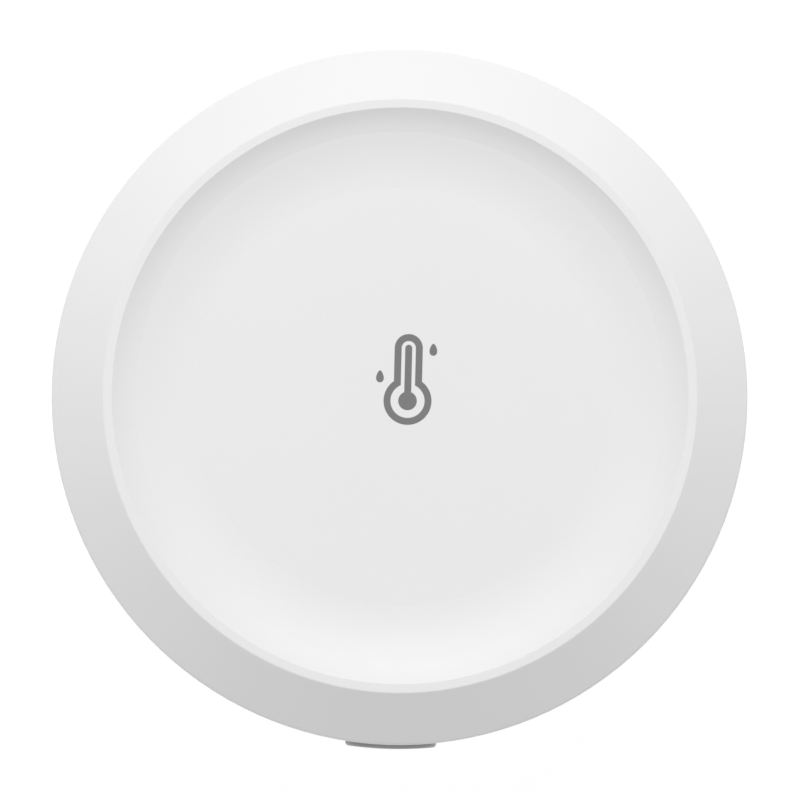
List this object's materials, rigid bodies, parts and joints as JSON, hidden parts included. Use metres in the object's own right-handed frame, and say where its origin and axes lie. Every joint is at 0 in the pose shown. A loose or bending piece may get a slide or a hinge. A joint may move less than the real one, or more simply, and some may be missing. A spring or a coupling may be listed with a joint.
{
  "type": "temperature humidity sensor",
  "caption": "Round battery-powered room sensor for temperature and humidity, with a dished face in a sloping rim, a side reset button and a twist-off back.",
  "frame": {"origin": "centre of the flat back, on the surface that the sensor rests on or is stuck to", "axes": "+Z out of the dished face; -Y towards the reset button; +Y towards the air slots and the top of the printed sign"},
  "size_m": [0.062, 0.0623, 0.0222],
  "materials": {
    "white_housing": "fine satin moulded white plastic",
    "grey_button": "satin moulded grey plastic",
    "tray_plastic": "plain moulded white plastic",
    "board_laminate": "green solder mask on glass laminate",
    "plated_steel": "nickel-plated sheet and wire",
    "black_package": "moulded black package",
    "clear_resin": "clear cast resin on a white carrier",
    "yellow_epoxy": "moulded yellow package",
    "tan_ceramic": "fired ceramic with tinned ends",
    "ivory_plastic": "moulded ivory plastic",
    "cell_jacket": "plain lacquered jacket over a drawn can"
  },
  "bodies": {
    "base": {"back_cover": "white_housing"},
    "body": {"front_shell": "white_housing", "battery_tray": "tray_plastic", "main_board": "board_laminate", "radio_module": "board_laminate", "radio_shield": "plated_steel", "switch_frame": "plated_steel", "positive_contact": "plated_steel", "negative_contact": "plated_steel", "bridge_contact": "plated_steel", "negative_spring": "plated_steel", "bridge_spring": "plated_steel", "tray_screws": "plated_steel", "humidity_sensor": "black_package", "switch_body": "black_package", "chip_resistors": "black_package", "signal_light": "clear_resin", "buffer_capacitor": "yellow_epoxy", "chip_capacitors": "tan_ceramic", "upper_cell": "cell_jacket", "lower_cell": "cell_jacket"},
    "button": {"reset_button": "grey_button"},
    "plunger": {"switch_plunger": "ivory_plastic"}
  },
  "joints": [
    {"name": "body_twist", "type": "hinge", "parent": "base", "child": "body", "pos_m": [0, 0, 0], "axis": [0, 0, 1], "range_deg": [0, 16]},
    {"name": "reset_press", "type": "slide", "parent": "body", "child": "button", "axis": [0, 1, 0], "range_m": [0, 0.0003], "stiffness_N_per_m": 6600},
    {"name": "plunger_press", "type": "slide", "parent": "body", "child": "plunger", "axis": [0, 1, 0], "range_m": [0, 0.0003]}
  ],
  "couplings": [
    {"joint": "plunger_press", "follows": "reset_press", "ratio": 1}
  ]
}
